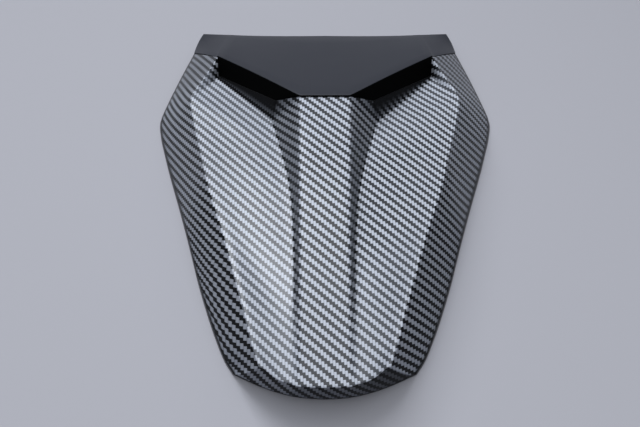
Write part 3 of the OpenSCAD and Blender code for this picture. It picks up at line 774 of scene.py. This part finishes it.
# Painted shade: the cap's lip faces away from the lamps, so it gets a near-black copy of the cap's plastic.
lip_painted_shade = plastic("lip_painted_shade", (0.0008, 0.0009, 0.001), 0.8, 0.0006, 0.00001, shine=0.02)
tray_abs = plastic("tray_abs", (0.03, 0.031, 0.034), 0.55, 0.0008, 0.00004)
bare_abs = plastic("bare_abs", (0.02, 0.02, 0.022), 0.45, 0.0012, 0.00003)
black_rubber = rubber("black_rubber")
rod_steel = plated_steel("rod_steel", (0.62, 0.61, 0.58), (300, 4000, 4000))
sheet_steel = plated_steel("sheet_steel", (0.55, 0.55, 0.55), (4000, 250, 4000))
zinc_steel = plated_steel("zinc_steel", (0.66, 0.66, 0.64), (1500, 1500, 300))

# %% [markdown]
# ## The printed shell
# The shell is one moulding with the film outside and bare plastic inside. The mesh from
# above takes the place of the solid, and carries the film map as its UV layer and the two
# numbers, print strength with painted shade and gloss with painted sheen, as attributes of its points.

# %% Dress the shell
skin = put("shell_skin", np.clip(skin_points, np.array(cad_box[0]) / MM, np.array(cad_box[1]) / MM),
           skin_faces, [film, bare_abs], [0 if covered else 1 for covered in film_face])
layer = skin.data.uv_layers.new(name="film")
for loop, item in zip(skin.data.loops, layer.data):
    item.uv = skin_film[loop.vertex_index]
skin.data.attributes.new("print_and_shade", "FLOAT", "POINT").data.foreach_set("value", skin_print_and_shade)
skin.data.attributes.new("gloss_and_painted_sheen", "FLOAT", "POINT").data.foreach_set("value", skin_gloss_and_sheen)
soften(skin, 40)
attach(skin, "root")
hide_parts("shell")

# %% [markdown]
# ## Posts under the shell
# Six hollow posts are moulded on to the inside of the shell, and the screws from the
# tray bite into them. Each is a turned shape: up the outside, and at the bottom back up
# the bore. The top runs a little into the wall, as a moulded post does.

# %% Posts
POST_ROWS, POST_COLUMN = (0.27, 0.5, 0.8), 24
POST_FOOT, POST_R, BORE_R, BORE_DEPTH, POST_SIDES = 23.0, 4.5, 2.55, 13.0, 32
POST_CHAMFER, LEAD_IN, INTO_WALL = 0.3, 0.2, 0.8


def turned(centre, profile, sides):
    """Points and faces of a closed turned shape; the profile starts and ends on the axis."""
    turns = [(math.cos(2 * math.pi * k / sides), math.sin(2 * math.pi * k / sides)) for k in range(sides)]
    rings = [[(centre[0] + r * x, centre[1] + r * y, z) for x, y in turns] for r, z in profile[1:-1]]
    points = [(centre[0], centre[1], profile[0][1])] + [p for ring in rings for p in ring]
    points.append((centre[0], centre[1], profile[-1][1]))
    faces = [(0, 1 + (k + 1) % sides, 1 + k) for k in range(sides)]
    for r in range(len(rings) - 1):
        a, b = 1 + r * sides, 1 + (r + 1) * sides
        faces += [(a + k, a + (k + 1) % sides, b + (k + 1) % sides, b + k) for k in range(sides)]
    last, end = 1 + (len(rings) - 1) * sides, len(points) - 1
    faces += [(last + k, last + (k + 1) % sides, end) for k in range(sides)]
    return points, faces


post_points, post_faces = [], []
for s in POST_ROWS:
    spot_in = main_row(s, SHELL_T)[POST_COLUMN]
    for side in (-1, 1):
        top, bore_end = spot_in[2] + INTO_WALL, POST_FOOT + BORE_DEPTH
        profile = [(0, top), (POST_R, top), (POST_R, POST_FOOT + POST_CHAMFER), (POST_R - POST_CHAMFER, POST_FOOT),
                   (BORE_R + LEAD_IN, POST_FOOT), (BORE_R, POST_FOOT + LEAD_IN), (BORE_R, bore_end), (0, bore_end)]
        points, faces = turned((side * spot_in[0], spot_in[1]), profile, POST_SIDES)
        post_faces += [tuple(len(post_points) + k for k in face) for face in faces]
        post_points += points
posts = put("shell_posts", post_points, post_faces, [bare_abs])
soften(posts, 40)
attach(posts, "root")
print("posts", len(post_points), "points")

# %% [markdown]
# ## The front cap
# The cap is one matt moulding: a ramp that falls to the rider, a facet at each side and
# a lip behind, in shade. Its creases are only a little rounded, so the smooth copy keeps
# edges over 34 degrees sharp. The lip is found by the way its faces point: back, towards
# the tail, above the lowest edge; it gets a near-black copy of the cap's plastic as painted shade.

# %% Dress the cap
def welded(name, source):
    """A copy of a solid: its loose triangles are joined at their points."""
    data = source.data.copy()
    data.materials.clear()
    made = bpy.data.objects.new(name, data)
    bpy.context.scene.collection.objects.link(made)
    work = bmesh.new()
    work.from_mesh(data)
    bmesh.ops.remove_doubles(work, verts=work.verts, dist=2e-6)
    bmesh.ops.dissolve_degenerate(work, edges=work.edges, dist=1e-6)
    work.to_mesh(data)
    work.free()
    data.update()
    return made


CAP_EDGE = 34
LIP_BACK, SIDE_LIP_BACK, SIDE_LIP_OUT = 0.25, 0.1, 0.5
LIP_LOW, SIDE_LIP_FRONT = 40 * MM, 105 * MM
cap = welded("cap_skin", node["front_cap"])
soften(cap, CAP_EDGE)
cap.data.materials.append(cap_abs)
cap.data.materials.append(lip_painted_shade)
for face in cap.data.polygons:
    out, back = abs(face.normal.x), -face.normal.y
    side_lip = back > SIDE_LIP_BACK and out > SIDE_LIP_OUT and face.center.y < SIDE_LIP_FRONT
    # Painted shade on the lip's faces.
    if (side_lip or back > LIP_BACK) and face.center.z > LIP_LOW:
        face.material_index = 1
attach(cap, "root")
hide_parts("front_cap")

# %% [markdown]
# ## The solids that stay
# The tray, its plates and bolts and the bumpers are plain shapes that the solids already
# show in full, so their own meshes stay and only get their finish.

# %% Dress the solids that stay
def dress(name, material):
    """Gives a solid its finish; its mesh and place stay."""
    data = node[name].data
    data.materials.clear()
    data.materials.append(material)


SCREWS = [f"shell_screw_{k}" for k in range(1, 7)] + ["cap_screw_left", "cap_screw_right"]
for name in node:
    if name in ("shell", "front_cap") or name in SCREWS:
        continue
    if name == "tray":
        dress(name, tray_abs)
    elif name.startswith("bumper"):
        dress(name, black_rubber)
    elif name == "striker_loop":
        dress(name, rod_steel)
    elif name == "striker_plate" or name in ("tongue_left", "tongue_right"):
        dress(name, sheet_steel)
    else:
        dress(name, zinc_steel)

# %% [markdown]
# ## Eight screws from one rule
# Eight pan-head screws with a flange hold the shell and cap to the tray, heads down.
# They are all the same, so a Geometry Nodes tree builds one screw from its named sizes
# and sets a copy on each seat, turned by a random angle, as screws end up in life.

# %% Geometry tree
class Tree:
    """A Geometry Nodes group with named inputs."""

    def __init__(self, name):
        self.group = bpy.data.node_groups.new(name, "GeometryNodeTree")
        self.group.interface.new_socket("Geometry", in_out="INPUT", socket_type="NodeSocketGeometry")
        self.group.interface.new_socket("Geometry", in_out="OUTPUT", socket_type="NodeSocketGeometry")
        self.inputs = self.group.nodes.new("NodeGroupInput")
        self.identifiers = {}

    def size(self, name, kind="Float"):
        made = self.group.interface.new_socket(name, in_out="INPUT", socket_type="NodeSocket" + kind)
        self.identifiers[name] = made.identifier
        return self.inputs.outputs[name]

    def node(self, kind, settings=None, **sockets):
        made = self.group.nodes.new(kind)
        for name, setting in (settings or {}).items():
            setattr(made, name, setting)
        for name, item in sockets.items():
            socket = made.inputs[int(name[1:])] if name[1:].isdigit() else made.inputs[name.replace("_", " ")]
            if isinstance(item, bpy.types.NodeSocket):
                self.group.links.new(item, socket)
            else:
                socket.default_value = item
        return made

    def maths(self, operation, a, b):
        return self.node("ShaderNodeMath", {"operation": operation}, _0=a, _1=b).outputs[0]

    def vector(self, x=0.0, y=0.0, z=0.0):
        return self.node("ShaderNodeCombineXYZ", None, X=x, Y=y, Z=z).outputs[0]

    def mesh(self, kind, settings=None, **sockets):
        return self.node("GeometryNodeMesh" + kind, settings, **sockets).outputs["Mesh"]

    def move(self, geometry, z, scale=(1, 1, 1)):
        made = self.node("GeometryNodeTransform", None, Geometry=geometry, Translation=self.vector(z=z), Scale=scale)
        return made.outputs[0]


# %% Screw tree
FLANGE_SIDES, SHANK_SIDES, DOME_RINGS = 48, 32, 24
TIP_LENGTH, TIP_TAPER, SLOT_REACH = 2 * MM, 0.5, 1.25


def screw_tree():
    """One screw with its seat at z = 0, head down, set on every point of the input."""
    tree = Tree("screws")
    flange_r, flange_t = tree.size("Flange radius"), tree.size("Flange thickness")
    head_r, head_h = tree.size("Head radius"), tree.size("Head height")
    shank_r, shank_l = tree.size("Shank radius"), tree.size("Shank length")
    slot_w, slot_d = tree.size("Slot width"), tree.size("Slot depth")
    seed, material = tree.size("Seed", "Int"), tree.size("Material", "Material")
    cylinder = {"fill_type": "NGON"}
    flange = tree.mesh("Cylinder", cylinder, Vertices=FLANGE_SIDES, Radius=flange_r, Depth=flange_t)
    flange = tree.move(flange, tree.maths("MULTIPLY", flange_t, -0.5))
    dome = tree.mesh("UVSphere", None, Segments=FLANGE_SIDES, Rings=DOME_RINGS, Radius=head_r)
    flat = tree.vector(1.0, 1.0, tree.maths("DIVIDE", head_h, head_r))
    dome = tree.move(dome, tree.maths("MULTIPLY", flange_t, -1.0), flat)

    # The dome loses its upper half, and the cross of the driver is cut from below.
    low = tree.maths("MULTIPLY", tree.maths("ADD", flange_t, head_h), -1.0)
    arm_length, arm_height = tree.maths("MULTIPLY", head_r, SLOT_REACH), tree.maths("MULTIPLY", slot_d, 2.0)
    cutters = [tree.move(tree.mesh("Cube", None, Size=tree.vector(*sides, arm_height)), low)
               for sides in ((arm_length, slot_w), (slot_w, arm_length))]
    lid = tree.maths("MULTIPLY", head_r, 3.0)
    lid_z = tree.maths("SUBTRACT", tree.maths("MULTIPLY", lid, 0.5), tree.maths("MULTIPLY", flange_t, 0.5))
    cutters.append(tree.move(tree.mesh("Cube", None, Size=tree.vector(lid, lid, lid)), lid_z))
    cut = tree.node("GeometryNodeMeshBoolean", {"operation": "DIFFERENCE"}, _0=dome)
    for cutter in cutters:
        tree.group.links.new(cutter, cut.inputs[1])

    shank = tree.mesh("Cylinder", cylinder, Vertices=SHANK_SIDES, Radius=shank_r, Depth=shank_l)
    shank = tree.move(shank, tree.maths("MULTIPLY", shank_l, 0.5))
    tip = tree.mesh("Cone", cylinder, Vertices=SHANK_SIDES, Radius_Top=tree.maths("MULTIPLY", shank_r, TIP_TAPER),
                    Radius_Bottom=shank_r, Depth=TIP_LENGTH)
    tip = tree.move(tip, shank_l)
    join = tree.node("GeometryNodeJoinGeometry")
    for part in (flange, cut.outputs[0], shank, tip):
        tree.group.links.new(part, join.inputs[0])
    angle = tree.node("FunctionNodeRandomValue", {"data_type": "FLOAT"}, _3=2 * math.pi, Seed=seed)
    placed = tree.node("GeometryNodeInstanceOnPoints", None, Points=tree.inputs.outputs[0],
                       Instance=join.outputs[0], Rotation=tree.vector(z=angle.outputs[1]))
    real = tree.node("GeometryNodeRealizeInstances", None, Geometry=placed.outputs[0])
    painted = tree.node("GeometryNodeSetMaterial", None, Geometry=real.outputs[0], Material=material)
    end = tree.group.nodes.new("NodeGroupOutput")
    tree.group.links.new(painted.outputs[0], end.inputs[0])
    return tree


# %% Screws on their seats
FLANGE, HEAD = 1.2 * MM, 3 * MM
boxes = [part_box(name) for name in SCREWS]
radius = (boxes[0][1][0] - boxes[0][0][0]) / 2
seats = [((low[0] + high[0]) / 2, (low[1] + high[1]) / 2, low[2] + FLANGE + HEAD) for low, high in boxes]
holder = bpy.data.objects.new("screw_seats", bpy.data.meshes.new("screw_seats"))
holder.data.from_pydata(seats, [], [])
bpy.context.scene.collection.objects.link(holder)
screws = screw_tree()
modifier = holder.modifiers.new("screws", "NODES")
modifier.node_group = screws.group
sizes = {"Flange radius": radius, "Flange thickness": FLANGE, "Head radius": 4.32 * MM, "Head height": HEAD,
         "Shank radius": 2.4 * MM, "Shank length": 12 * MM, "Slot width": 1.0 * MM, "Slot depth": 1.8 * MM,
         "Seed": 7, "Material": zinc_steel}
for name, value in sizes.items():
    modifier[screws.identifiers[name]] = value
depsgraph = bpy.context.evaluated_depsgraph_get()
screw_mesh = bpy.data.meshes.new_from_object(holder.evaluated_get(depsgraph), depsgraph=depsgraph)
bpy.data.objects.remove(holder)
screw_mesh.materials.clear()
screw_mesh.materials.append(zinc_steel)
for face in screw_mesh.polygons:
    face.material_index = 0
screw_set = bpy.data.objects.new("pan_screws", screw_mesh)
bpy.context.scene.collection.objects.link(screw_set)
soften(screw_set, 35)
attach(screw_set, "root")
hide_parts(*SCREWS)
heights = [v.co.z / MM for v in screw_mesh.vertices]
print("screws", len(heights), "points, from", round(min(heights), 2), "to", round(max(heights), 2), "mm")

# %% [markdown]
# ## Floor and light
# The cowl stands on a plain pale floor, as in a product picture. A wide soft box hangs
# above and a little towards the tail, so the shadow under the tail stays short. A
# narrower, brighter one at the front left puts the sheen on the left wing, where the film
# also has painted sheen, and a small one at the front right lifts the other side. No lamp
# faces the lip of the cap or the scoops' walls, and their colours carry painted shade as
# well, so they stay nearly black.

# %% Floor
FLOOR_REACH, FLOOR_COLOUR = 3, (0.475, 0.48, 0.533, 1)


def floor():
    """The plain sheet that the cowl stands on."""
    data = bpy.data.meshes.new("floor")
    corners = [(x * FLOOR_REACH, y * FLOOR_REACH, 0) for x, y in ((-1, -1), (1, -1), (1, 1), (-1, 1))]
    data.from_pydata(corners, [], [(0, 1, 2, 3)])
    made = bpy.data.objects.new("floor", data)
    bpy.context.scene.collection.objects.link(made)
    data.materials.append(Sheet("floor").finish(Base_Color=FLOOR_COLOUR, Roughness=0.9))


floor()

# %% Lights
LAMP_DISTANCE, AIM_HEIGHT, LAMP_TINT = 1.6, 0.06, (0.96, 0.98, 1)
WORLD_TINT, WORLD_LIGHT = (0.9, 0.93, 1.0, 1), 0.12


def soft_box(name, azimuth, elevation, width, height, radiance):
    """A soft box turned to the cowl; azimuth runs from +Y to the right, in degrees."""
    a, e = math.radians(azimuth), math.radians(elevation)
    aim = Vector((0, 0, AIM_HEIGHT))
    place = Vector((math.sin(a) * math.cos(e), math.cos(a) * math.cos(e), math.sin(e))) * LAMP_DISTANCE + aim
    lamp = bpy.data.lights.new(name, "AREA")
    lamp.shape, lamp.size, lamp.size_y = "RECTANGLE", width, height
    lamp.energy, lamp.color = radiance * math.pi * width * height, LAMP_TINT
    made = bpy.data.objects.new(name, lamp)
    bpy.context.scene.collection.objects.link(made)
    made.location = place
    made.rotation_euler = (aim - place).to_track_quat("-Z", "Y").to_euler()


soft_box("top", 180, 69, 1.7, 1.4, 1.84)
soft_box("left", -33, 66, 0.65, 1.3, 5.4)
soft_box("right", 34, 48, 0.3, 0.5, 1.2)
world = bpy.data.worlds.new("world")
bpy.context.scene.world = world
world.use_nodes = True
background = world.node_tree.nodes["Background"]
background.inputs["Color"].default_value = WORLD_TINT
background.inputs["Strength"].default_value = WORLD_LIGHT
bpy.context.scene.view_settings.view_transform = "Standard"
print("lamps:", [lamp.name for lamp in bpy.data.lights])
